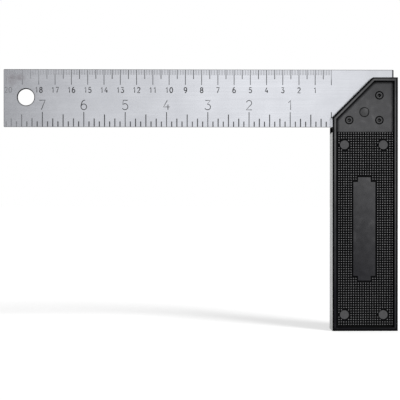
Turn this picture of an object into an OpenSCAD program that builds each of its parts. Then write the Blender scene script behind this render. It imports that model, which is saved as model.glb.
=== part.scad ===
/* [Blade] */
// Length of the blade from the working face of the stock to the blade's free end
blade_reach = 201.5; // [120:0.5:420]
// Width of the blade, from its inner to its outer ruling edge
blade_w = 35.5; // [33:0.5:60]
// Thickness of the blade
blade_t = 1.2; // [0.8:0.1:2]
// Height of the blade's outer edge above the top of the stock
blade_proud = 5.2; // [1:0.1:7]
// Distance from the end of the tang to the outer face of the stock
tang_short = 1.5; // [1:0.1:1.6]
// Step that lifts the tang's lower edge clear of the inner ruling edge
tang_step = 0.4; // [0.2:0.1:0.8]
// Diameter of the hanging hole
hang_d = 10; // [5:0.5:16]
// Distance from the blade's free end to the middle of the hanging hole
hang_end = 13.7; // [10:0.1:30]
// Height of the middle of the hanging hole above the inner ruling edge
hang_z = 18.3; // [12:0.1:22]

/* [Stock] */
// Length of the stock below the blade's inner ruling edge
stock_drop = 125; // [110:1:300]
// Width of the stock, from its working face to its outer face
stock_w = 40; // [38:0.5:60]
// Thickness of the stock over both covers
stock_t = 16; // [15:0.5:24]
// Length of each leg of the 45 degree corner cut
corner_cut = 24.7; // [15:0.1:26]

/* [Covers] */
// Width of the rim around each cover
rim_w = 2.2; // [2.1:0.1:2.6]
// Bevel around the rim's outer edge
rim_bevel = 0.7; // [0.3:0.1:1]
// Depth of the smooth panel and the name plate below the rim
panel_depth = 1.2; // [0.8:0.1:1.4]
// Depth of the grip field below the smooth panel
grip_depth = 0.5; // [0.2:0.1:0.6]
// Distance of the grip field's upper edge below the blade's inner edge
grip_top = 3.1; // [2.5:0.1:6]
// Thickness of the walls that close the covers around the bar
wall = 2; // [1.8:0.1:2]
// Width of the bare name plate
plate_w = 13.7; // [8:0.1:16]
// Length of the bare name plate without its end tabs
plate_l = 57.6; // [30:0.1:64]
// Width of the name plate's end tabs
tab_w = 8; // [4:0.1:12]
// Length of the name plate with both end tabs
plate_full_l = 63.4; // [64:0.1:70]
// Distance from the working face to the middle of the name plate
plate_x = 19.5; // [17:0.1:22]

/* [Metal bar] */
// Thickness of the metal bar between the covers
bar_t = 10.6; // [9.6:0.1:10.8]
// Width of the flange that carries the working face
face_w = 13.2; // [12:0.1:13.4]
// Thickness of the flange that carries the working face
face_t = 2; // [1.5:0.1:2]
// Height of the relief notch between the working face and the blade
notch_h = 2.6; // [2.2:0.1:4]
// Depth of the relief notch
notch_d = 1.2; // [0.8:0.1:1.4]

/* [Fasteners] */
// Diameter of the hollow rivets' shanks
rivet_d = 3.6; // [3:0.1:4]
// Diameter of the hole through each hollow rivet
rivet_bore_d = 1.5; // [1:0.1:2]
// Diameter of the hollow rivets' heads
rivet_head_d = 4.5; // [4.2:0.1:5]
// Height of the two lower rivets above the blade's inner edge
rivet_row_z = 4.1; // [3.6:0.1:6]
// Distance of the upper rivet below the top of the stock
rivet_top_drop = 11; // [8:0.1:13]
// Distance of the inner rivet from the working face
rivet_inner_x = 10.2; // [8:0.1:11]
// Distance of the upper and outer rivets from the outer face
rivet_outer_drop = 11.3; // [8:0.1:13]
// Diameter of the locating dowel
dowel_d = 5.8; // [4:0.1:6.4]
// Height of the locating dowel above the lower rivets
dowel_rise = 4.9; // [4:0.1:8]
// Diameter of the cover pins' heads
pin_head_d = 5.6; // [4.6:0.1:6.4]
// Diameter of the cover pins' shanks
pin_d = 3.5; // [2.5:0.1:4]
// Distance of the inner pins from the working face
pin_inner_x = 7.3; // [6.4:0.1:9]
// Distance of the outer pins from the outer face
pin_outer_drop = 8.9; // [6.4:0.1:10]
// Distance of the upper pins below the blade's inner edge
pin_top_drop = 11; // [8:0.1:16]
// Distance of the lower pins above the foot of the stock
pin_foot_rise = 10; // [6.4:0.1:16]

/* [Fits] */
// Gap on each side of a shank in its hole, and between the bar and the cover walls
fit = 0.05; // [0.03:0.01:0.1]
// Gap around a head in its counterbore
head_gap = 0.3; // [0.1:0.05:0.4]

/* [Hidden] */
$fn = 96;
past = 1;
half_t = stock_t / 2;
stock_top = blade_w - blade_proud;
tang_x = stock_w - tang_short;
step_x = notch_d - fit;
hang_x = hang_end - blade_reach;
panel_y = half_t - panel_depth;
grip_y = panel_y - grip_depth;
seat_y = bar_t / 2;
head_t = (panel_y - seat_y) * 0.6;
head_round = 0.35;
dome_h = 0.35;
bore_flare = 0.35;
rivet_outer_x = stock_w - rivet_outer_drop;
inner_rivet_at = [rivet_inner_x, rivet_row_z];
outer_rivet_at = [rivet_outer_x, rivet_row_z];
upper_rivet_at = [rivet_outer_x, stock_top - rivet_top_drop];
dowel_at = [(rivet_inner_x + rivet_outer_x) / 2, rivet_row_z + dowel_rise];
pin_outer_x = stock_w - pin_outer_drop;
pin_foot_z = pin_foot_rise - stock_drop;
upper_inner_pin_at = [pin_inner_x, -pin_top_drop];
upper_outer_pin_at = [pin_outer_x, -pin_top_drop];
lower_inner_pin_at = [pin_inner_x, pin_foot_z];
lower_outer_pin_at = [pin_outer_x, pin_foot_z];
rivet_places = [inner_rivet_at, outer_rivet_at, upper_rivet_at];
pin_places = [upper_inner_pin_at, upper_outer_pin_at, lower_inner_pin_at, lower_outer_pin_at];
// The stock's outline in X and Z, anticlockwise from the foot of the working face
outline = [
    [0, -stock_drop],
    [stock_w, -stock_drop],
    [stock_w, stock_top],
    [corner_cut, stock_top],
    [0, stock_top - corner_cut]
];

function unit(v) = v / norm(v);
function inward(p, q) = unit([p.y - q.y, q.x - p.x]);
function turn(a, b) = a.x * b.y - a.y * b.x;
function meet(p, u, q, v) = p + u * turn(q - p, v) / turn(u, v);
// A convex outline with every side moved inwards by the same distance
function inset(points, d) = [
    for (i = [0 : len(points) - 1])
        let (
            a = points[(i + len(points) - 1) % len(points)],
            b = points[i],
            c = points[(i + 1) % len(points)]
        )
        meet(a + d * inward(a, b), b - a, b + d * inward(b, c), c - b)
];

// A shape drawn in X and Z, filled from y0 to y1
module slab(y0, y1) {
    translate([0, y1, 0])
        rotate([90, 0, 0])
            linear_extrude(y1 - y0)
                children();
}

// A rectangle in X and Z between two corners
module window(low, high) {
    translate(low)
        square(high - low);
}

// A turned piece or a drill at a place in X and Z, with its profile's height along Y
module turned(at) {
    translate([at.x, 0, at.y])
        rotate([90, 0, 0])
            children();
}

module drill(at, d, y0, y1) {
    translate([at.x, y1, at.y])
        rotate([90, 0, 0])
            cylinder(h = y1 - y0, d = d);
}

// The prism that bevels the front edge of a cover between two corners of its outline
module bevel_cut(p, q) {
    run = norm(q - p) + 2 * stock_w;
    translate([p.x, -half_t, p.y])
        rotate([0, -atan2(q.y - p.y, q.x - p.x), 0])
            translate([-stock_w, 0, 0])
                rotate([90, 0, 90])
                    linear_extrude(run)
                        polygon([
                            [-past, -past],
                            [rim_bevel + past, -past],
                            [-past, rim_bevel + past]
                        ]);
}

module plate_outline() {
    middle = [plate_x, -stock_drop / 2];
    translate(middle)
        square([plate_w, plate_l], center = true);
    translate(middle)
        square([tab_w, plate_full_l], center = true);
}

// The flange in outline: straight along the working face, rounded off under the notch
module face_outline(depth) {
    window([0, -stock_drop], [depth, -notch_h - face_t]);
    intersection() {
        translate([face_t, -notch_h - face_t])
            circle(r = face_t);
        window([0, -notch_h - face_t], [face_t, -notch_h]);
    }
}

// The space that the blade takes through the walls of the stock
module blade_outline(end_x) {
    window([-past, 0], [notch_d, stock_top + past]);
    window([notch_d - past, tang_step], [end_x, stock_top + past]);
}

module blade() {
    color([0.82, 0.84, 0.87])
        difference() {
            slab(-blade_t / 2, blade_t / 2)
                window([-blade_reach, 0], [tang_x, blade_w]);
            slab(-blade_t, blade_t)
                window([step_x, -past], [tang_x + past, tang_step]);
            drill([hang_x, hang_z], hang_d, -blade_t, blade_t);
            for (at = rivet_places)
                drill(at, rivet_d + 2 * fit, -blade_t, blade_t);
            drill(dowel_at, dowel_d + 2 * fit, -blade_t, blade_t);
        }
}

module metal_bar() {
    color([0.7, 0.71, 0.72])
        difference() {
            union() {
                slab(-seat_y, seat_y) {
                    polygon(inset(outline, wall + fit));
                    face_outline(wall + 2 * fit);
                }
                slab(-face_w / 2, face_w / 2)
                    face_outline(face_t);
            }
            slab(-blade_t / 2 - fit, blade_t / 2 + fit)
                window([-past, tang_step], [stock_w, stock_top]);
            for (at = rivet_places)
                drill(at, rivet_d + 2 * fit, -half_t, half_t);
            for (at = pin_places)
                drill(at, pin_d + 2 * fit, -half_t, half_t);
            drill(dowel_at, dowel_d + 2 * fit, -half_t, half_t);
        }
}

// The front cover: a rimmed plate with walls that reach the middle of the stock
module cover() {
    corners = len(outline);
    panel = inset(outline, rim_w);
    color([0.16, 0.16, 0.17])
        difference() {
            slab(-half_t, 0)
                polygon(outline);
            for (i = [0 : corners - 1])
                bevel_cut(outline[i], outline[(i + 1) % corners]);
            slab(-half_t - past, -panel_y)
                polygon(panel);
            slab(-half_t - past, -grip_y)
                difference() {
                    window(panel[0], [stock_w - rim_w, -grip_top]);
                    plate_outline();
                }
            slab(-seat_y, past)
                polygon(inset(outline, wall));
            slab(-face_w / 2 - fit, past) {
                window([-past, -stock_drop - past], [face_t + fit, -notch_h + fit]);
                window([-past, -notch_h - past], [notch_d, 0]);
            }
            slab(-blade_t / 2 - fit, past)
                blade_outline(tang_x + fit);
            for (at = rivet_places) {
                drill(at, rivet_d + 2 * fit, -half_t, 0);
                drill(at, rivet_head_d + 2 * head_gap, -half_t, head_t - panel_y);
            }
            for (at = pin_places) {
                drill(at, pin_d + 2 * fit, -half_t, 0);
                drill(at, pin_head_d + 2 * fit, -half_t, head_t - panel_y);
            }
            drill(dowel_at, dowel_d + 2 * fit, -half_t, 0);
        }
}

module front_cover() {
    cover();
}

module rear_cover() {
    mirror([0, 1, 0])
        cover();
}

// A hollow rivet with a round-edged head at each end
module rivet(at) {
    shank_r = rivet_d / 2;
    head_r = rivet_head_d / 2;
    bore_r = rivet_bore_d / 2;
    end_y = panel_y;
    under_y = panel_y - head_t;
    color([0.24, 0.24, 0.25])
        turned(at)
            rotate_extrude()
                polygon([
                    [bore_r, -end_y + bore_flare],
                    [bore_r + bore_flare, -end_y],
                    [head_r - head_round, -end_y],
                    [head_r, -end_y + head_round],
                    [head_r, -under_y],
                    [shank_r, -under_y],
                    [shank_r, under_y],
                    [head_r, under_y],
                    [head_r, end_y - head_round],
                    [head_r - head_round, end_y],
                    [bore_r + bore_flare, end_y],
                    [bore_r, end_y - bore_flare]
                ]);
}

module inner_rivet() {
    rivet(inner_rivet_at);
}

module outer_rivet() {
    rivet(outer_rivet_at);
}

module upper_rivet() {
    rivet(upper_rivet_at);
}

// A plain dowel through the whole stock, slightly domed at both ends
module locating_dowel() {
    dowel_r = dowel_d / 2;
    ball_r = (dowel_r * dowel_r + dome_h * dome_h) / (2 * dome_h);
    color([0.24, 0.24, 0.25])
        turned(dowel_at)
            intersection() {
                cylinder(h = 2 * panel_y, d = dowel_d, center = true);
                translate([0, 0, panel_y - ball_r])
                    sphere(r = ball_r);
                translate([0, 0, ball_r - panel_y])
                    sphere(r = ball_r);
            }
}

// A solid pin with a flat head at each end, which clamps both covers on the bar
module cover_pin(at) {
    under_y = panel_y - head_t;
    color([0.2, 0.2, 0.21])
        turned(at) {
            cylinder(h = 2 * panel_y, d = pin_d, center = true);
            translate([0, 0, under_y])
                cylinder(h = head_t, d = pin_head_d);
            translate([0, 0, -panel_y])
                cylinder(h = head_t, d = pin_head_d);
        }
}

module upper_inner_pin() {
    cover_pin(upper_inner_pin_at);
}

module upper_outer_pin() {
    cover_pin(upper_outer_pin_at);
}

module lower_inner_pin() {
    cover_pin(lower_inner_pin_at);
}

module lower_outer_pin() {
    cover_pin(lower_outer_pin_at);
}

blade();
metal_bar();
front_cover();
rear_cover();
inner_rivet();
outer_rivet();
upper_rivet();
locating_dowel();
upper_inner_pin();
upper_outer_pin();
lower_inner_pin();
lower_outer_pin();
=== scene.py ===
import math

import bmesh
import bpy
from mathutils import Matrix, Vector


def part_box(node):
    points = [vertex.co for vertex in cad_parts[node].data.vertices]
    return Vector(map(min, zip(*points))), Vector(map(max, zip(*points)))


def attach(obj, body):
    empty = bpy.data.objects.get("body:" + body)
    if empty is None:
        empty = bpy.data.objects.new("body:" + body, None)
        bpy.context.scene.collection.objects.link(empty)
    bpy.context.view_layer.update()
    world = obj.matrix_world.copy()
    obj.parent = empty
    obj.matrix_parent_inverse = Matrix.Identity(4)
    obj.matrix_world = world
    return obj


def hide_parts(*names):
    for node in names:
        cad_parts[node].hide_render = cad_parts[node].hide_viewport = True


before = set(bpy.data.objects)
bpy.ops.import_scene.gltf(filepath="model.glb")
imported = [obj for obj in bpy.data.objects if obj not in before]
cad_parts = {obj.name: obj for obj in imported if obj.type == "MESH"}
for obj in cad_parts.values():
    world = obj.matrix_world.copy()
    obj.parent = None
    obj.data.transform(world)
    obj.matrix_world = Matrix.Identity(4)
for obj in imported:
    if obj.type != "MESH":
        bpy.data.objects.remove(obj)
bpy.context.view_layer.update()

MM = 0.001
INCH = 25.4 * MM
WHITE = (1.0, 1.0, 1.0, 1.0)

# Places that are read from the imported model
BLADE_LOW, BLADE_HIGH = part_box("blade")
COVER_LOW, COVER_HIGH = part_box("front_cover")
BLADE_FACE_Y = BLADE_LOW.y
BLADE_TOP_Z = BLADE_HIGH.z
FLOOR_Z = COVER_LOW.z
PIN_NODES = ("upper_inner_pin", "upper_outer_pin", "lower_inner_pin", "lower_outer_pin")
RIVET_NODES = ("inner_rivet", "outer_rivet", "upper_rivet")
HEAD_Y = abs(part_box(PIN_NODES[0])[0].y)
PIN_BOXES = [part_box(node) for node in PIN_NODES]
HALF_STOCK = max(COVER_HIGH.y, -COVER_LOW.y)

# Distances from the middle plane: the grip field's floor, and the lowest face and rim edges
GRIP_FLOOR_Y = 6.3 * MM
FACE_LEVEL_Y = 6.2 * MM
RIM_LEVEL_Y = 7.2 * MM

# The hanging hole: its middle, its radius, and how far from the middle its edges are looked for
HOLE_AT = (-187.8 * MM, 18.3 * MM)
HOLE_RADIUS = 5 * MM
HOLE_REACH = 6 * MM

# How the edges to be rounded are told apart
SHARP_ANGLE = math.radians(30)
IN_STOCK_X = 0.3 * MM
SEAM_REACH = 0.1 * MM
CREST_OUTWARD = 0.5
LEVEL_SLACK = 0.01 * MM

# Edge rounds, as radius and segments
HOLE_ROUND = (0.42 * MM, 1)
BLADE_ROUND = (0.26 * MM, 1)
CREST_ROUND = (0.6 * MM, 2)
BORDER_ROUND = (0.22 * MM, 2)
SEAM_ROUND = (0.2 * MM, 1)
FACE_ROUND = (0.12 * MM, 2)
RIVET_ROUND = (0.05 * MM, 2)
DOWEL_ROUND = (0.25 * MM, 2)

# Points this near are one point, and faces this flat to each other are one face
SAME_PLACE = 1e-6
FLAT_ANGLE = math.radians(0.5)

# Degrees up to which an edge is shaded smooth
BODY_SMOOTH = 40
STUD_SMOOTH = 60

# The bare name plate in the grip field: its middle, and half sizes of the plate and its tabs
PLATE_X = 19.5 * MM
PLATE_Z = -62.5 * MM
PLATE_HALF = (6.85 * MM, 28.8 * MM)
TAB_HALF = (4.0 * MM, 31.7 * MM)

# The checkered grip: first stud, pitches, counts, and the margin left round the plate and the pins
STUD_FIRST = (3.93 * MM, -3.82 * MM)
STUD_PITCH = (1.4865 * MM, 1.4827 * MM)
STUD_COUNT = (23, 80)
STUD_CLEAR = 0.62 * MM
# One stud: its rings are half widths in mm and shares of the height, the corners reach a little more
STUD_HEIGHT = 0.5 * MM
STUD_SUNK = 0.06 * MM
STUD_SIDES = 8
STUD_CORNER = 1.08
STUD_RINGS = ((0.56, 0.0), (0.50, 0.2), (0.40, 0.62), (0.31, 0.86), (0.2, 0.97))

# Marks: how far they are sunk in the blade and stand proud, and where ticks start from the edge
TICK_SUNK = 0.05 * MM
TICK_PROUD = 0.012 * MM
EDGE_GAP = 0.3 * MM
INCH_ZERO_GAP = 5.6 * MM
# Ticks: the last one's number, the inch scale's pitch, and each kind's step, length and width
METRIC_END = 200
METRIC_TICKS = ((10, 9.5 * MM, 0.43 * MM), (5, 5.9 * MM, 0.46 * MM), (1, 3.4 * MM, 0.21 * MM))
INCH_END = 63
INCH_PITCH = INCH / 8
INCH_TICKS = (
    (8, 9.3 * MM, 0.52 * MM), (4, 7.8 * MM, 0.62 * MM),
    (2, 5.3 * MM, 0.67 * MM), (1, 3.5 * MM, 0.67 * MM))
# Numerals: the numbers, their base line, a digit's width and height, and the pen's width
METRIC_NUMBERS = range(1, 19)
METRIC_NUMERAL_Z = BLADE_TOP_Z - 14.3 * MM
METRIC_NUMERAL_SIZE = (1.85 * MM, 3.2 * MM)
METRIC_STROKE = 0.78 * MM
INCH_NUMBERS = range(1, 8)
INCH_NUMERAL_Z = 10.7 * MM
INCH_NUMERAL_SIZE = (3.9 * MM, 5.8 * MM)
INCH_STROKE = 0.66 * MM
NUMERAL_GAP = 0.75 * MM
# The last metric number, whose middle is 1.3 mm nearer the stock than its tick
LAST_NUMBER = "20"
LAST_NUMERAL_X = -198.7 * MM


# Objects

def add_object(name, data):
    obj = bpy.data.objects.new(name, data)
    bpy.context.scene.collection.objects.link(obj)
    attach(obj, "root")
    return obj


def mesh_from_bmesh(name, bm):
    mesh = bpy.data.meshes.new(name)
    bmesh.ops.recalc_face_normals(bm, faces=bm.faces)
    bm.to_mesh(mesh)
    bm.free()
    return mesh


def give_material(obj, material):
    obj.data.materials.clear()
    obj.data.materials.append(material)


def shade_smooth(mesh, degrees):
    for polygon in mesh.polygons:
        polygon.use_smooth = True
    mesh.set_sharp_from_angle(angle=math.radians(degrees))


# A copy of a CAD node with its sharp outer edges rounded, which stands for the node

def is_sharp(edge):
    return edge.calc_face_angle(0.0) > SHARP_ANGLE


def round_edges(bm, radius, segments, is_wanted):
    sharp = [e for e in bm.edges if len(e.link_faces) == 2 and is_sharp(e) and is_wanted(e)]
    bmesh.ops.bevel(
        bm, geom=sharp, offset=radius, offset_type="OFFSET", segments=segments,
        profile=0.5, affect="EDGES", clamp_overlap=False)


def rounded_copy(node, name, slot, material, *rounds):
    bm = bmesh.new()
    bm.from_mesh(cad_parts[node].data)
    bmesh.ops.remove_doubles(bm, verts=bm.verts, dist=SAME_PLACE)
    bmesh.ops.dissolve_limit(bm, angle_limit=FLAT_ANGLE, verts=bm.verts, edges=bm.edges)
    for radius, segments, is_wanted in rounds:
        round_edges(bm, radius, segments, is_wanted)
    mesh = mesh_from_bmesh(name, bm)
    shade_smooth(mesh, BODY_SMOOTH)
    obj = add_object(name, mesh)
    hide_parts(node)
    normals = obj.modifiers.new("flat_faces_stay_flat", "WEIGHTED_NORMAL")
    normals.weight = 100
    normals.keep_sharp = True
    give_material(obj, material)


# Which edges a round takes

def middle_of(edge):
    return (edge.verts[0].co + edge.verts[1].co) / 2


def near_hole(edge):
    middle = middle_of(edge)
    return math.hypot(middle.x - HOLE_AT[0], middle.z - HOLE_AT[1]) < HOLE_REACH


def blade_border(edge):
    highest = max(vertex.co.z for vertex in edge.verts)
    in_stock = middle_of(edge).x > IN_STOCK_X and highest < COVER_HIGH.z
    return not in_stock and not near_hole(edge)


def face_edge(edge):
    return abs(middle_of(edge).y) > FACE_LEVEL_Y


def rim_edge(edge):
    return abs(middle_of(edge).y) > RIM_LEVEL_Y


def rim_crest(edge):
    ends_on_face = all(abs(vertex.co.y) > HALF_STOCK - LEVEL_SLACK for vertex in edge.verts)
    least_outward = min(abs(face.normal.y) for face in edge.link_faces)
    return ends_on_face and least_outward > CREST_OUTWARD


def rim_border(edge):
    return rim_edge(edge) and is_sharp(edge) and not rim_crest(edge)


def recessed_edge(edge):
    return face_edge(edge) and not rim_edge(edge)


def seam_edge(edge):
    middle = middle_of(edge)
    beyond = max(middle.x - COVER_HIGH.x, middle.z - COVER_HIGH.z, COVER_LOW.z - middle.z)
    on_seam = all(abs(vertex.co.y) < LEVEL_SLACK for vertex in edge.verts)
    return beyond > -SEAM_REACH and on_seam


# The studs of the checkered grip, one closed solid each

def stud_is_clear(x, z):
    dx = abs(x - PLATE_X)
    dz = abs(z - PLATE_Z)
    for half in (PLATE_HALF, TAB_HALF):
        if dx < half[0] + STUD_CLEAR and dz < half[1] + STUD_CLEAR:
            return False
    for low, high in PIN_BOXES:
        radius = (high.x - low.x) / 2
        if math.hypot(x - (low.x + high.x) / 2, z - (low.z + high.z) / 2) < radius + STUD_CLEAR:
            return False
    return True


def add_stud(bm, x, z, side):
    rings = []
    floor_y = HEAD_Y - STUD_HEIGHT
    levels = ((STUD_RINGS[0][0], -STUD_SUNK / STUD_HEIGHT),) + STUD_RINGS
    for half, level in levels:
        y = side * (floor_y + level * STUD_HEIGHT)
        ring = []
        for k in range(STUD_SIDES):
            angle = math.tau * (k + 0.5) / STUD_SIDES
            reach = half * MM * STUD_CORNER
            ring.append(bm.verts.new((x + reach * math.cos(angle), y, z + reach * math.sin(angle))))
        rings.append(ring)
    for low, high in zip(rings, rings[1:]):
        for k in range(STUD_SIDES):
            following = (k + 1) % STUD_SIDES
            bm.faces.new((low[k], low[following], high[following], high[k]))
    bm.faces.new(rings[0])
    bm.faces.new(rings[-1])


def make_grip(name, side, material):
    bm = bmesh.new()
    for column in range(STUD_COUNT[0]):
        for row in range(STUD_COUNT[1]):
            x = STUD_FIRST[0] + column * STUD_PITCH[0]
            z = STUD_FIRST[1] - row * STUD_PITCH[1]
            if stud_is_clear(x, z):
                add_stud(bm, x, z, side)
    mesh = mesh_from_bmesh(name, bm)
    shade_smooth(mesh, STUD_SMOOTH)
    obj = add_object(name, mesh)
    give_material(obj, material)


# The graduations, as thin closed inlays in the blade's front

def add_box(bm, low, high):
    corners = [
        bm.verts.new((x, y, z))
        for x in (low[0], high[0])
        for y in (low[1], high[1])
        for z in (low[2], high[2])
    ]
    for face in ((0, 1, 3, 2), (4, 6, 7, 5), (0, 4, 5, 1), (2, 3, 7, 6), (0, 2, 6, 4), (1, 5, 7, 3)):
        bm.faces.new([corners[i] for i in face])


def tick_size(index, kinds):
    return next((length, width) for step, length, width in kinds if index % step == 0)


def make_ticks(name, count, pitch, kinds, edge_z, inward, zero_gap, material):
    bm = bmesh.new()
    for index in range(count + 1):
        length, width = tick_size(index, kinds)
        x = -index * pitch
        z0 = edge_z + inward * (EDGE_GAP if index else zero_gap)
        z1 = edge_z + inward * length
        add_box(
            bm,
            (x - width / 2, BLADE_FACE_Y - TICK_PROUD, min(z0, z1)),
            (x + width / 2, BLADE_FACE_Y + TICK_SUNK, max(z0, z1)))
    obj = add_object(name, mesh_from_bmesh(name, bm))
    give_material(obj, material)


# Plain numerals as pen strokes in a cell that is 1 wide and 1 high

def arc(cx, cz, rx, rz, start, end, steps=14):
    points = []
    for k in range(steps + 1):
        angle = math.radians(start + (end - start) * k / steps)
        points.append((cx + rx * math.cos(angle), cz + rz * math.sin(angle)))
    return points


def numeral_strokes(digit):
    return {
        "0": [arc(0.5, 0.5, 0.46, 0.5, 90, 450, 24)],
        "1": [[(0.22, 0.78), (0.56, 1.0), (0.56, 0.0)]],
        "2": [arc(0.5, 0.72, 0.42, 0.28, 165, -25) + [(0.04, 0.0), (0.96, 0.0)]],
        "3": [[(0.1, 1.0), (0.9, 1.0), (0.42, 0.6)] + arc(0.46, 0.3, 0.46, 0.3, 88, -155)],
        "4": [[(0.62, 1.0), (0.02, 0.3), (0.98, 0.3)], [(0.72, 0.55), (0.72, 0.0)]],
        "5": [[(0.88, 1.0), (0.2, 1.0), (0.12, 0.56)] + arc(0.46, 0.32, 0.46, 0.32, 118, -150)],
        "6": [arc(0.62, 0.3, 0.56, 0.7, 80, 175, 10), arc(0.5, 0.3, 0.44, 0.3, 90, 450, 22)],
        "7": [[(0.04, 1.0), (0.94, 1.0), (0.34, 0.0)]],
        "8": [arc(0.5, 0.76, 0.36, 0.24, 90, 450, 20), arc(0.5, 0.26, 0.45, 0.26, 90, 450, 22)],
        "9": [arc(0.38, 0.7, 0.56, 0.7, -100, -5, 10), arc(0.5, 0.7, 0.44, 0.3, 90, 450, 22)],
    }[digit]


def numeral_paths(text, centre_x, base_z, size):
    width, height = size
    total = len(text) * width + (len(text) - 1) * NUMERAL_GAP
    paths = []
    for place, digit in enumerate(text):
        left = centre_x - total / 2 + place * (width + NUMERAL_GAP)
        for stroke in numeral_strokes(digit):
            paths.append([(left + u * width, base_z + v * height) for u, v in stroke])
    return paths


def make_strokes(name, paths, stroke, material):
    curve = bpy.data.curves.new(name + "_pen", "CURVE")
    curve.dimensions = "3D"
    curve.bevel_depth = stroke / 2
    curve.bevel_resolution = 2
    curve.use_fill_caps = True
    for path in paths:
        spline = curve.splines.new("POLY")
        closed = math.dist(path[0], path[-1]) < SAME_PLACE
        kept = path[:-1] if closed else path
        spline.points.add(len(kept) - 1)
        spline.use_cyclic_u = closed
        for point, (x, z) in zip(spline.points, kept):
            point.co = (x, 0, z, 1)
    pen = bpy.data.objects.new(name + "_pen", curve)
    bpy.context.scene.collection.objects.link(pen)
    bpy.context.view_layer.update()
    drawn = pen.evaluated_get(bpy.context.evaluated_depsgraph_get())
    mesh = bpy.data.meshes.new_from_object(drawn)
    bpy.data.objects.remove(pen)
    bpy.data.curves.remove(curve)
    flat = (TICK_SUNK + TICK_PROUD) / stroke
    middle_y = BLADE_FACE_Y + (TICK_SUNK - TICK_PROUD) / 2
    for vertex in mesh.vertices:
        vertex.co.y = middle_y + vertex.co.y * flat
    mesh.name = name
    mesh.materials.clear()
    obj = add_object(name, mesh)
    give_material(obj, material)


def make_numerals(material):
    metric = []
    for number in METRIC_NUMBERS:
        metric += numeral_paths(str(number), -number * 10 * MM, METRIC_NUMERAL_Z, METRIC_NUMERAL_SIZE)
    metric += numeral_paths(LAST_NUMBER, LAST_NUMERAL_X, METRIC_NUMERAL_Z, METRIC_NUMERAL_SIZE)
    make_strokes("metric_numerals", metric, METRIC_STROKE, material)
    inches = []
    for number in INCH_NUMBERS:
        inches += numeral_paths(str(number), -number * INCH, INCH_NUMERAL_Z, INCH_NUMERAL_SIZE)
    make_strokes("inch_numerals", inches, INCH_STROKE, material)


# Materials: a node tree with short calls for what the looks need

# Painted light: the studs' tip tone and the moulding's gloss rise towards the top and the outer side,
# along Z plus this much of X
PAINTED_RISE_SLOPE = 0.95
# Which outward lean counts as a flat face, and which occlusion counts as open
FLAT_FACE = (0.9, 0.99)
OPEN_CORNER = (0.85, 0.94)
OCCLUSION_SAMPLES = 8
# A spot is full inside this share of its radii
SPOT_CORE = 0.35


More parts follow.
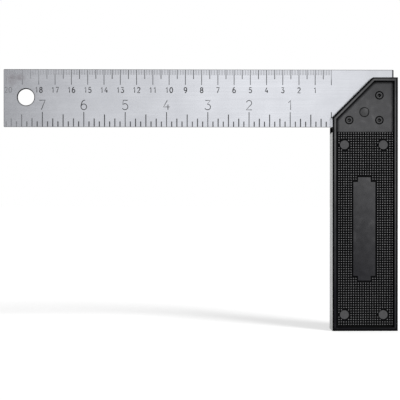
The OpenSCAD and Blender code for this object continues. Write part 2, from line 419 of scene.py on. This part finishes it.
class Nodes:
    def __init__(self, name):
        self.material = bpy.data.materials.new(name)
        self.material.use_nodes = True
        self.tree = self.material.node_tree
        self.shader = self.tree.nodes["Principled BSDF"]
        coordinates = self.tree.nodes.new("ShaderNodeTexCoord")
        self.place = coordinates.outputs["Object"]

    def link(self, source, target):
        self.tree.links.new(source, target)

    def feed(self, socket, value):
        if isinstance(value, bpy.types.NodeSocket):
            self.link(value, socket)
        else:
            socket.default_value = value

    def scaled(self, scale, turn=(0.0, 0.0, 0.0), move=(0.0, 0.0, 0.0)):
        mapping = self.tree.nodes.new("ShaderNodeMapping")
        self.link(self.place, mapping.inputs["Vector"])
        mapping.inputs["Scale"].default_value = scale
        mapping.inputs["Rotation"].default_value = turn
        mapping.inputs["Location"].default_value = move
        return mapping.outputs["Vector"]

    def noise(self, vector, detail=2.0, rough=0.5):
        texture = self.tree.nodes.new("ShaderNodeTexNoise")
        self.link(vector, texture.inputs["Vector"])
        texture.inputs["Scale"].default_value = 1.0
        texture.inputs["Detail"].default_value = detail
        texture.inputs["Roughness"].default_value = rough
        return texture.outputs["Fac"]

    def ramp(self, value, from_low, from_high, to_low=0.0, to_high=1.0):
        node = self.tree.nodes.new("ShaderNodeMapRange")
        self.link(value, node.inputs["Value"])
        node.inputs["From Min"].default_value = from_low
        node.inputs["From Max"].default_value = from_high
        node.inputs["To Min"].default_value = to_low
        node.inputs["To Max"].default_value = to_high
        return node.outputs["Result"]

    def math(self, operation, first, second=0.0):
        node = self.tree.nodes.new("ShaderNodeMath")
        node.operation = operation
        self.feed(node.inputs[0], first)
        self.feed(node.inputs[1], second)
        return node.outputs[0]

    def mix(self, share, first, second):
        node = self.tree.nodes.new("ShaderNodeMix")
        node.data_type = "RGBA"
        self.feed(node.inputs[0], share)
        self.feed(node.inputs[6], first)
        self.feed(node.inputs[7], second)
        return node.outputs[2]

    def axis(self, letter):
        node = self.tree.nodes.new("ShaderNodeSeparateXYZ")
        self.link(self.place, node.inputs[0])
        return node.outputs[letter]

    def reach(self, centre, radii):
        scale = tuple(1.0 / r for r in radii)
        move = tuple(-c / r for c, r in zip(centre, radii))
        node = self.tree.nodes.new("ShaderNodeVectorMath")
        node.operation = "LENGTH"
        self.link(self.scaled(scale, move=move), node.inputs[0])
        return node.outputs["Value"]

    def spot(self, centre, radii):
        return self.ramp(self.reach(centre, radii), 1.0, SPOT_CORE)

    def handled(self, low, high, level_low, level_high):
        outward = self.math("MULTIPLY", self.axis("X"), PAINTED_RISE_SLOPE)
        return self.ramp(self.math("ADD", self.axis("Z"), outward), low, high, level_low, level_high)

    def normal(self, letter):
        coordinates = self.tree.nodes.new("ShaderNodeTexCoord")
        node = self.tree.nodes.new("ShaderNodeSeparateXYZ")
        self.link(coordinates.outputs["Normal"], node.inputs[0])
        return node.outputs[letter]

    def facing(self, outer_shade_and_dullness=0.0):
        outward = self.math("MAXIMUM", self.normal("X"), 0.0)
        upright = self.math("ABSOLUTE", self.normal("Y"))
        outer_lean_shade = self.math("MULTIPLY", outward, outer_shade_and_dullness)
        return self.ramp(self.math("SUBTRACT", upright, outer_lean_shade), *FLAT_FACE)

    def openness(self, distance):
        node = self.tree.nodes.new("ShaderNodeAmbientOcclusion")
        node.samples = OCCLUSION_SAMPLES
        node.inputs["Distance"].default_value = distance
        return self.ramp(node.outputs["AO"], *OPEN_CORNER)

    def bump(self, height, distance, strength):
        node = self.tree.nodes.new("ShaderNodeBump")
        self.link(height, node.inputs["Height"])
        node.inputs["Distance"].default_value = distance
        node.inputs["Strength"].default_value = strength
        self.link(node.outputs["Normal"], self.shader.inputs["Normal"])

    def finish(self, colour, roughness, metallic=0.0, specular=0.5):
        self.feed(self.shader.inputs["Base Color"], colour)
        self.feed(self.shader.inputs["Roughness"], roughness)
        self.feed(self.shader.inputs["Metallic"], metallic)
        self.feed(self.shader.inputs["Specular IOR Level"], specular)
        return self.material


# Ground steel: fine streaks along the blade, faint clouds, hairline scratches and a worn free end,
# with painted shade on the edges, round the hole and along the end at the stock

STEEL_DARK = (0.545, 0.556, 0.592, 1.0)
STEEL_PALE = (0.588, 0.600, 0.637, 1.0)
STEEL_STREAK = (0.48, 0.492, 0.525, 1.0)
STEEL_HAIRLINE = (0.68, 0.69, 0.71, 1.0)
STEEL_WORN = (0.42, 0.42, 0.45, 1.0)
STEEL_STAIN = (0.33, 0.305, 0.33, 1.0)
STEEL_EDGE_SHADE = (0.09, 0.091, 0.097, 1.0)
STEEL_SHADED = (0.03, 0.03, 0.032, 1.0)
# The worn end from where it begins to where it is full, and its stains as middle and radii
WORN_END_X = (-0.14, -0.185)
STAINS = (
    ((-0.1965, -0.0006, 0.0293), (0.0042, 0.01, 0.0052)),
    ((-0.1912, -0.0006, 0.0305), (0.0038, 0.01, 0.003)))
# Painted shade lines: depth below the face on the rounded edges, and width before the blade's end at
# the stock
EDGE_SHADE_DEPTH = (0.02 * MM, 0.07 * MM)
END_SHADE_WIDTH = (1.0 * MM, 0.75 * MM)
# The painted shade ring round the hole in hole radii, and where along X minus Z it goes from dark to
# faint
RING_REACH = (1.15, 1.1)
RING_SHADE = (-0.2115, -0.2)


def stain_mask(n):
    stain = n.spot(*STAINS[0])
    stain = n.math("MAXIMUM", stain, n.spot(*STAINS[1]))
    return n.math("MULTIPLY", stain, n.ramp(n.noise(n.scaled((450, 450, 450))), 0.3, 0.65, 0.2, 0.7))


# Painted shade round the hole, darkest at its upper left and faint at its lower right
def hole_ring_mask(n):
    from_middle = n.reach((HOLE_AT[0], 0.0, HOLE_AT[1]), (HOLE_RADIUS, 1.0, HOLE_RADIUS))
    shade = n.ramp(n.math("SUBTRACT", n.axis("X"), n.axis("Z")), *RING_SHADE, 1.0, 0.2)
    return n.math("MULTIPLY", n.ramp(from_middle, *RING_REACH), shade)


def steel_material():
    n = Nodes("ground_steel")
    fine = n.noise(n.scaled((60, 60, 9000)), detail=3.0, rough=0.6)
    streaks = n.noise(n.scaled((14, 14, 1300)), detail=4.0, rough=0.65)
    clouds = n.noise(n.scaled((70, 70, 90)), detail=3.0)
    scratch = n.noise(n.scaled((30, 700, 5200), turn=(0.0, 0.16, 0.0)), detail=1.0)
    mottle = n.ramp(n.noise(n.scaled((420, 420, 600)), detail=3.0), 0.4, 0.65)
    worn_end = n.ramp(n.axis("X"), *WORN_END_X, 0.0, 0.22)
    depth = n.math("ABSOLUTE", n.axis("Y"))
    # Painted shade: the rounded long edges are darkened to stand in for the dark they reflect, and are
    # also made rougher
    edge = n.ramp(depth, -BLADE_FACE_Y - EDGE_SHADE_DEPTH[0], -BLADE_FACE_Y - EDGE_SHADE_DEPTH[1])
    # Painted shade: a dark line along the blade's end at the stock
    end_line_shade = n.ramp(n.axis("X"), BLADE_HIGH.x - END_SHADE_WIDTH[0], BLADE_HIGH.x - END_SHADE_WIDTH[1])
    tone = n.mix(n.ramp(clouds, 0.35, 0.65), STEEL_DARK, STEEL_PALE)
    tone = n.mix(n.ramp(streaks, 0.35, 0.7, 0.0, 0.45), tone, STEEL_STREAK)
    tone = n.mix(n.math("MULTIPLY", n.ramp(scratch, 0.70, 0.76), 0.2), tone, STEEL_HAIRLINE)
    tone = n.mix(n.math("MULTIPLY", mottle, worn_end), tone, STEEL_WORN)
    tone = n.mix(stain_mask(n), tone, STEEL_STAIN)
    tone = n.mix(edge, tone, STEEL_EDGE_SHADE)
    tone = n.mix(hole_ring_mask(n), tone, STEEL_SHADED)
    tone = n.mix(end_line_shade, tone, STEEL_SHADED)
    rough = n.ramp(streaks, 0.2, 0.8, 0.14, 0.19)
    rough = n.math("ADD", rough, n.ramp(fine, 0.3, 0.7, -0.02, 0.03))
    rough = n.math("MAXIMUM", rough, n.math("MULTIPLY", edge, 0.4))
    n.bump(fine, 0.004 * MM, 0.6)
    return n.finish(tone, rough, metallic=1.0)


# Black etch fill of the marks, worn thin in places, at the free end and on the metric zero tick

FILL_BLACK = (0.02, 0.02, 0.023, 1.0)
FILL_WORN = (0.56, 0.57, 0.605, 1.0)
FILL_MOST_WORN = 0.75
# Where wear begins and is full: at the free end, on its upper marks, and up the zero tick
FADED_END_X = (-0.178, -0.197)
RUBBED_X = (-0.155, -0.185)
RUBBED_Z = (0.024, 0.03)
ZERO_TICK_X = (-0.9 * MM, -0.6 * MM)
ZERO_TICK_Z = (0.027, 0.031)


def mark_material():
    n = Nodes("black_etch_fill")
    patches = n.noise(n.scaled((110, 110, 60)), detail=2.0)
    grit = n.noise(n.scaled((2600, 2600, 2600)), detail=1.0)
    end = n.ramp(n.axis("X"), *FADED_END_X, 0.0, 0.4)
    top = n.ramp(n.axis("Z"), *RUBBED_Z, 0.0, 0.45)
    rubbed = n.math("MULTIPLY", n.ramp(n.axis("X"), *RUBBED_X), top)
    zero_tick = n.ramp(n.axis("X"), *ZERO_TICK_X)
    faded = n.math("MULTIPLY", zero_tick, n.ramp(n.axis("Z"), *ZERO_TICK_Z, 0.0, 0.5))
    worn = n.ramp(patches, 0.5, 0.72, 0.0, 0.14)
    worn = n.math("ADD", worn, n.math("MAXIMUM", end, rubbed))
    worn = n.math("ADD", worn, faded)
    worn = n.math("ADD", worn, n.ramp(grit, 0.55, 0.8, 0.0, 0.2))
    worn = n.math("MINIMUM", worn, FILL_MOST_WORN)
    tone = n.mix(worn, FILL_BLACK, FILL_WORN)
    n.bump(grit, 0.01 * MM, 0.4)
    return n.finish(tone, n.ramp(worn, 0.0, 1.0, 0.5, 0.18), metallic=worn, specular=0.3)


# Machined face of the metal bar, with cutter marks across it

BAR_DARK = (0.57, 0.575, 0.575, 1.0)
BAR_PALE = (0.67, 0.675, 0.67, 1.0)
BAR_CUT = (0.28, 0.283, 0.283, 1.0)


def bar_material():
    n = Nodes("machined_bar_metal")
    cutter = n.noise(n.scaled((300, 25, 2600)), detail=2.0)
    clouds = n.noise(n.scaled((90, 90, 40)), detail=3.0)
    tone = n.mix(n.ramp(clouds, 0.35, 0.65), BAR_DARK, BAR_PALE)
    tone = n.mix(n.ramp(cutter, 0.4, 0.7, 0.0, 0.4), tone, BAR_CUT)
    n.bump(cutter, 0.01 * MM, 0.5)
    return n.finish(tone, n.ramp(cutter, 0.3, 0.7, 0.5, 0.62), metallic=1.0)


# Fine-grained black moulding: polished faces, dull sides, painted shade in the corners, recesses and
# on rounded edges, a bright wall by the blade

MOULDING_DARK = (0.0055, 0.0055, 0.008, 1.0)
MOULDING_PALE = (0.0085, 0.0085, 0.0115, 1.0)
MOULDING_RUBBED = (0.06, 0.06, 0.062, 1.0)
MOULDING_PAINTED_SHADE = (0.0022, 0.0022, 0.0026, 1.0)
MOULDING_OUTSIDE = (0.0095, 0.0095, 0.011, 1.0)
WALL_BRIGHT = (0.86, 0.865, 0.875, 1.0)
# Where each side begins and is full: outer side, top, foot, and the inner wall by the blade
OUTER_SIDE_X = (39.4 * MM, 39.7 * MM)
TOP_SIDE_Z = (29.7 * MM, 30 * MM)
FOOT_SIDE_Z = (-124.4 * MM, -124.7 * MM)
INNER_WALL_X = (0.3 * MM, 0.1 * MM)
INNER_WALL_Y = (6.9 * MM, 6.5 * MM)
INNER_WALL_LEAN = (-0.9, -0.99)
# Heights between which the gloss falls again towards the top, and the painted rise of gloss along the
# stock
DULL_TOP_Z = (0.012, 0.027)
MOULDING_GLOSS_RISE = (-0.1, -0.008)
# How far the corner shading looks, and how much a lean to the outer side dulls a face and darkens it
# with painted shade
CORNER_DISTANCE = 2.2 * MM
OUTER_SHADE_AND_DULLNESS = 0.6


def inner_wall_mask(n, depth):
    wall = n.ramp(n.normal("X"), *INNER_WALL_LEAN)
    wall = n.math("MULTIPLY", wall, n.ramp(n.axis("X"), *INNER_WALL_X))
    return n.math("MULTIPLY", wall, n.ramp(depth, *INNER_WALL_Y))


def outside_mask(n):
    outside = n.math("MAXIMUM", n.ramp(n.axis("X"), *OUTER_SIDE_X), n.ramp(n.axis("Z"), *TOP_SIDE_Z))
    outside = n.math("MAXIMUM", outside, n.ramp(n.axis("Z"), *FOOT_SIDE_Z))
    return n.math("MULTIPLY", outside, n.ramp(n.math("ABSOLUTE", n.normal("Y")), 0.3, 0.1))


def face_gloss(n, depth, mottle):
    gloss = n.ramp(depth, HALF_STOCK - 1.0 * MM, HALF_STOCK - 0.1 * MM, 0.78, 1.0)
    gloss = n.math("MULTIPLY", gloss, n.ramp(mottle, 0.3, 0.7, 0.9, 1.1))
    # Painted light: the gloss rises towards the top and the outer side
    gloss = n.math("MULTIPLY", gloss, n.handled(*MOULDING_GLOSS_RISE, 0.1, 1.14))
    return n.math("MULTIPLY", gloss, n.ramp(n.axis("Z"), *DULL_TOP_Z, 1.0, 0.72))


def moulding_material():
    n = Nodes("black_moulding")
    grain = n.noise(n.scaled((4200, 4200, 4200)), detail=2.0, rough=0.6)
    mottle = n.noise(n.scaled((260, 260, 260)), detail=3.0)
    clouds = n.noise(n.scaled((45, 45, 45)), detail=2.0)
    depth = n.math("ABSOLUTE", n.axis("Y"))
    raised = n.ramp(depth, GRIP_FLOOR_Y + 0.05 * MM, GRIP_FLOOR_Y + 0.2 * MM)
    unshaded = n.math("MULTIPLY", n.facing(OUTER_SHADE_AND_DULLNESS), n.openness(CORNER_DISTANCE))
    polish_and_light = n.math("MULTIPLY", raised, unshaded)
    rubbed = n.math("MULTIPLY", n.ramp(mottle, 0.58, 0.72), n.ramp(clouds, 0.45, 0.6))
    wall = inner_wall_mask(n, depth)
    outside = outside_mask(n)
    tone = n.mix(n.ramp(mottle, 0.3, 0.7), MOULDING_DARK, MOULDING_PALE)
    tone = n.mix(n.math("MULTIPLY", rubbed, 0.4), tone, MOULDING_RUBBED)
    # Painted shade: corners, recesses, rounded edges and the grip floor take a darker tone where the
    # polish mask is low
    tone = n.mix(polish_and_light, MOULDING_PAINTED_SHADE, tone)
    tone = n.mix(outside, tone, MOULDING_OUTSIDE)
    tone = n.mix(wall, tone, WALL_BRIGHT)
    rough = n.ramp(clouds, 0.3, 0.7, 0.22, 0.25)
    rough = n.math("ADD", rough, n.ramp(mottle, 0.3, 0.7, -0.015, 0.015))
    rough = n.math("MAXIMUM", rough, n.ramp(polish_and_light, 0.0, 1.0, 0.6, 0.2))
    rough = n.math("MINIMUM", rough, n.ramp(outside, 0.0, 1.0, 0.6, 0.34))
    rough = n.math("MINIMUM", rough, n.ramp(wall, 0.0, 1.0, 0.6, 0.18))
    gloss = n.math("MULTIPLY", polish_and_light, face_gloss(n, depth, mottle))
    gloss = n.math("MAXIMUM", gloss, n.ramp(outside, 0.0, 1.0, 0.04, 0.6))
    n.bump(n.math("MULTIPLY", grain, n.ramp(wall, 0.0, 1.0, 1.0, 0.05)), 0.006 * MM, 0.5)
    return n.finish(tone, rough, metallic=wall, specular=gloss)


# The same moulding on the grip studs, rubbed paler and smoother on their tips, with a painted
# highlight on the tips and painted shade at their feet

STUD_FOOT_SHADE = (0.003, 0.003, 0.0036, 1.0)
STUD_TIP_WEAR_AND_HIGHLIGHT = (0.2, 0.2, 0.206, 1.0)
STUD_TIP_DEPTH = (0.12 * MM, 0.01 * MM)
STUD_TIP_RISE = (-0.06, -0.02)


def stud_material():
    n = Nodes("black_grip_studs")
    grain = n.noise(n.scaled((5200, 5200, 5200)), detail=1.0)
    mottle = n.noise(n.scaled((300, 300, 300)), detail=2.0)
    depth = n.math("ABSOLUTE", n.axis("Y"))
    tip = n.ramp(depth, HEAD_Y - STUD_TIP_DEPTH[0], HEAD_Y - STUD_TIP_DEPTH[1])
    worn = n.math("MULTIPLY", tip, n.ramp(mottle, 0.3, 0.7, 0.6, 1.0))
    worn = n.math("MULTIPLY", worn, n.handled(*STUD_TIP_RISE, 0.78, 1.0))
    # Painted light: the pale tips are partly wear and partly a painted highlight, and the dark feet
    # are painted shade between the studs
    tone = n.mix(worn, STUD_FOOT_SHADE, STUD_TIP_WEAR_AND_HIGHLIGHT)
    n.bump(grain, 0.006 * MM, 0.4)
    rough = n.ramp(tip, 0.0, 1.0, 0.6, 0.36)
    return n.finish(tone, rough, specular=n.ramp(tip, 0.0, 1.0, 0.05, 0.6))


# Matt grey-black ends of the pins, rivets and dowel, with painted shade on their rounded rims

FASTENER_RIM_SHADE = (0.006, 0.006, 0.0065, 1.0)
PIN_TONES = ((0.047, 0.047, 0.049, 1.0), (0.062, 0.062, 0.064, 1.0))
PIN_ROUGH = (0.6, 0.72)
RIVET_TONES = ((0.03, 0.03, 0.031, 1.0), (0.05, 0.05, 0.052, 1.0))
RIVET_ROUGH = (0.38, 0.52)


def fastener_material(name, dark, pale, rough_low, rough_high):
    n = Nodes(name)
    grain = n.noise(n.scaled((3600, 3600, 3600)), detail=2.0)
    mottle = n.noise(n.scaled((900, 900, 900)), detail=2.0)
    tone = n.mix(n.ramp(mottle, 0.3, 0.7), dark, pale)
    face = n.facing()
    # Painted shade: the rounded rims away from the flat end turn dark
    tone = n.mix(face, FASTENER_RIM_SHADE, tone)
    n.bump(grain, 0.01 * MM, 0.5)
    rough = n.ramp(grain, 0.3, 0.7, rough_low, rough_high)
    return n.finish(tone, rough, specular=n.ramp(face, 0.0, 1.0, 0.08, 0.35))


# The dressed pieces

def dress_object():
    steel = steel_material()
    bar = bar_material()
    moulding = moulding_material()
    pin_finish = fastener_material("matt_pin_ends", *PIN_TONES, *PIN_ROUGH)
    rivet_finish = fastener_material("black_rivets", *RIVET_TONES, *RIVET_ROUGH)
    cover_rounds = (
        (*CREST_ROUND, rim_crest), (*BORDER_ROUND, rim_border),
        (*FACE_ROUND, recessed_edge), (*SEAM_ROUND, seam_edge))
    rounded_copy(
        "blade", "blade_rule", "blade_steel", steel,
        (*HOLE_ROUND, near_hole), (*BLADE_ROUND, blade_border))
    rounded_copy("metal_bar", "metal_bar_core", "bar_metal", bar, (*FACE_ROUND, face_edge))
    rounded_copy("front_cover", "front_cover_moulding", "cover_black", moulding, *cover_rounds)
    rounded_copy("rear_cover", "rear_cover_moulding", "cover_black", moulding, *cover_rounds)
    for node in RIVET_NODES:
        rounded_copy(node, node + "_turned", "fastener_black", rivet_finish, (*RIVET_ROUND, face_edge))
    rounded_copy(
        "locating_dowel", "locating_dowel_turned", "fastener_black", rivet_finish,
        (*DOWEL_ROUND, face_edge))
    for node in PIN_NODES:
        rounded_copy(node, node + "_turned", "fastener_black", pin_finish, (*FACE_ROUND, face_edge))
    studs = stud_material()
    make_grip("front_grip_studs", -1, studs)
    make_grip("rear_grip_studs", 1, studs)
    marks = mark_material()
    make_ticks(
        "metric_graduations", METRIC_END, MM, METRIC_TICKS, BLADE_TOP_Z, -1, EDGE_GAP, marks)
    make_ticks(
        "inch_graduations", INCH_END, INCH_PITCH, INCH_TICKS, 0.0, 1, INCH_ZERO_GAP, marks)
    make_numerals(marks)


# Stage: the floor, the world, the key lamp and the studio that only reflections see

FLOOR_RADIUS = 8.0
FLOOR_SEGMENTS = 96
FLOOR_ALBEDO = 0.5
FLOOR_TOP_UP = 0.58
WORLD_LEVEL = 0.4
KEY_DIRECTION = (0.9, -1.0, 0.9)
KEY_STRENGTH = 3.0
KEY_ANGLE = 20.0
# The camera: lens and sensor in millimetres, clipping, place, and the point that it looks at
CAMERA_LENS = 114.8
CAMERA_SENSOR = 36.0
CAMERA_CLIP = (0.05, 50.0)
CAMERA_AT = (-0.0965, -0.7856, -0.0418)
CAMERA_TARGET = (-0.0810, 0.0, -0.0448)
# The studio's sphere: radius, and segments around and upward
STUDIO_RADIUS = 0.95
STUDIO_SEGMENTS = (64, 32)
# Brightness of the studio across its width, as reflections see it
STUDIO_WIDTH_STOPS = (
    (-0.93, 0.03), (-0.78, 0.5), (-0.325, 0.57), (-0.25, 0.99), (-0.13, 1.07), (-0.06, 1.31),
    (0.03, 1.4), (0.09, 1.38), (0.14, 1.22), (0.2, 1.1), (0.35, 0.9), (0.78, 0.6), (0.93, 0.5))
# A dark flag low in front of the stock: its soft upper border is level, then falls to the right
LOW_FLAG_Z = (-0.13, 0.015)
LOW_FLAG_X = (-0.15, 0.0)
LOW_FLAG_SLOPE = 0.7
LOW_FLAG_LEVEL_X = 0.13
LOW_FLAG_LEFT = -0.015
# The studio's ceiling, which is dark
CEILING_Z = (0.5, 0.85)
CEILING_LEVEL = 0.1


def combine(tree, operation, first, second):
    node = tree.nodes.new("ShaderNodeMath")
    node.operation = operation
    for socket, value in zip(node.inputs, (first, second)):
        if isinstance(value, bpy.types.NodeSocket):
            tree.links.new(value, socket)
        else:
            socket.default_value = value
    return node.outputs[0]


def seen_background(tree):
    path = tree.nodes.new("ShaderNodeLightPath")
    share = path.outputs["Is Camera Ray"]
    for name in ("Is Glossy Ray", "Is Transmission Ray"):
        share = combine(tree, "MAXIMUM", share, path.outputs[name])
    return share


def make_world():
    world = bpy.data.worlds.new("studio")
    bpy.context.scene.world = world
    world.use_nodes = True
    tree = world.node_tree
    tree.nodes.clear()
    light = tree.nodes.new("ShaderNodeBackground")
    light.inputs["Color"].default_value = WHITE
    light.inputs["Strength"].default_value = WORLD_LEVEL
    seen = tree.nodes.new("ShaderNodeBackground")
    seen.inputs["Color"].default_value = WHITE
    seen.inputs["Strength"].default_value = 1.0
    mix = tree.nodes.new("ShaderNodeMixShader")
    out = tree.nodes.new("ShaderNodeOutputWorld")
    tree.links.new(seen_background(tree), mix.inputs[0])
    tree.links.new(light.outputs[0], mix.inputs[1])
    tree.links.new(seen.outputs[0], mix.inputs[2])
    tree.links.new(mix.outputs[0], out.inputs["Surface"])


def make_floor():
    bm = bmesh.new()
    bmesh.ops.create_circle(bm, cap_ends=True, segments=FLOOR_SEGMENTS, radius=FLOOR_RADIUS)
    floor = bpy.data.objects.new("floor", mesh_from_bmesh("floor", bm))
    bpy.context.scene.collection.objects.link(floor)
    floor.location = (0.0, 0.0, FLOOR_Z)
    material = bpy.data.materials.new("pale_floor")
    material.use_nodes = True
    tree = material.node_tree
    tree.nodes.clear()
    diffuse = tree.nodes.new("ShaderNodeBsdfDiffuse")
    diffuse.inputs["Color"].default_value = (FLOOR_ALBEDO, FLOOR_ALBEDO, FLOOR_ALBEDO, 1.0)
    glow = tree.nodes.new("ShaderNodeEmission")
    glow.inputs["Color"].default_value = WHITE
    strength = combine(tree, "MULTIPLY", seen_background(tree), FLOOR_TOP_UP)
    tree.links.new(strength, glow.inputs["Strength"])
    both = tree.nodes.new("ShaderNodeAddShader")
    out = tree.nodes.new("ShaderNodeOutputMaterial")
    tree.links.new(diffuse.outputs[0], both.inputs[0])
    tree.links.new(glow.outputs[0], both.inputs[1])
    tree.links.new(both.outputs[0], out.inputs["Surface"])
    give_material(floor, material)


def level_along(tree, source, stops):
    low, first_level = stops[0]
    high, last_level = stops[-1]
    peak = max(level for place, level in stops)
    share = tree.nodes.new("ShaderNodeMapRange")
    tree.links.new(source, share.inputs["Value"])
    share.inputs["From Min"].default_value = low
    share.inputs["From Max"].default_value = high
    curve = tree.nodes.new("ShaderNodeFloatCurve")
    tree.links.new(share.outputs["Result"], curve.inputs["Value"])
    points = curve.mapping.curves[0].points
    points[0].location = (0.0, first_level / peak)
    points[-1].location = (1.0, last_level / peak)
    for place, level in stops[1:-1]:
        points.new((place - low) / (high - low), level / peak)
    curve.mapping.update()
    return combine(tree, "MULTIPLY", curve.outputs["Value"], peak)


def smooth_step(tree, source, low, high, level_low=0.0, level_high=1.0):
    step = tree.nodes.new("ShaderNodeMapRange")
    step.interpolation_type = "SMOOTHSTEP"
    tree.links.new(source, step.inputs["Value"])
    step.inputs["From Min"].default_value = low
    step.inputs["From Max"].default_value = high
    step.inputs["To Min"].default_value = level_low
    step.inputs["To Max"].default_value = level_high
    return step.outputs["Result"]


def flag(tree, first, second):
    return combine(tree, "SUBTRACT", 1.0, combine(tree, "MULTIPLY", first, second))


def studio_material():
    material = bpy.data.materials.new("studio_reflection")
    material.use_nodes = True
    tree = material.node_tree
    tree.nodes.clear()
    place = tree.nodes.new("ShaderNodeTexCoord")
    axes = tree.nodes.new("ShaderNodeSeparateXYZ")
    tree.links.new(place.outputs["Object"], axes.inputs[0])
    across = axes.outputs["X"]
    up = axes.outputs["Z"]
    level = level_along(tree, across, STUDIO_WIDTH_STOPS)
    slope = combine(tree, "SUBTRACT", across, LOW_FLAG_LEVEL_X)
    slope = combine(tree, "MAXIMUM", slope, LOW_FLAG_LEFT)
    slanted = combine(tree, "ADD", up, combine(tree, "MULTIPLY", slope, LOW_FLAG_SLOPE))
    below = smooth_step(tree, slanted, *LOW_FLAG_Z, 1.0, 0.0)
    beside = smooth_step(tree, across, *LOW_FLAG_X)
    ceiling = smooth_step(tree, up, *CEILING_Z, 1.0, CEILING_LEVEL)
    level = combine(tree, "MULTIPLY", level, flag(tree, below, beside))
    level = combine(tree, "MULTIPLY", level, ceiling)
    glow = tree.nodes.new("ShaderNodeEmission")
    glow.inputs["Color"].default_value = WHITE
    tree.links.new(level, glow.inputs["Strength"])
    out = tree.nodes.new("ShaderNodeOutputMaterial")
    tree.links.new(glow.outputs[0], out.inputs["Surface"])
    return material


def show_to_reflections_only(obj):
    bpy.context.scene.collection.objects.link(obj)
    obj.visible_camera = False
    obj.visible_diffuse = False
    obj.visible_transmission = False
    obj.visible_volume_scatter = False
    obj.visible_shadow = False


def make_studio():
    bm = bmesh.new()
    around, upward = STUDIO_SEGMENTS
    bmesh.ops.create_uvsphere(bm, u_segments=around, v_segments=upward, radius=STUDIO_RADIUS)
    dome = bpy.data.objects.new("studio_dome", mesh_from_bmesh("studio_dome", bm))
    give_material(dome, studio_material())
    show_to_reflections_only(dome)


def make_key():
    data = bpy.data.lights.new("key", "SUN")
    data.energy = KEY_STRENGTH
    data.angle = math.radians(KEY_ANGLE)
    lamp = bpy.data.objects.new("key", data)
    lamp.rotation_euler = Vector(KEY_DIRECTION).to_track_quat("Z", "Y").to_euler()
    bpy.context.scene.collection.objects.link(lamp)


def make_camera():
    data = bpy.data.cameras.new("camera")
    data.lens = CAMERA_LENS
    data.sensor_width = CAMERA_SENSOR
    data.clip_start, data.clip_end = CAMERA_CLIP
    camera = bpy.data.objects.new("camera", data)
    camera.location = CAMERA_AT
    aim = Vector(CAMERA_TARGET) - camera.location
    camera.rotation_euler = aim.to_track_quat("-Z", "Y").to_euler()
    bpy.context.scene.collection.objects.link(camera)
    bpy.context.scene.camera = camera


dress_object()
make_world()
make_floor()
make_studio()
make_key()
make_camera()
bpy.context.scene.view_settings.view_transform = "Standard"

bpy.context.view_layer.update()
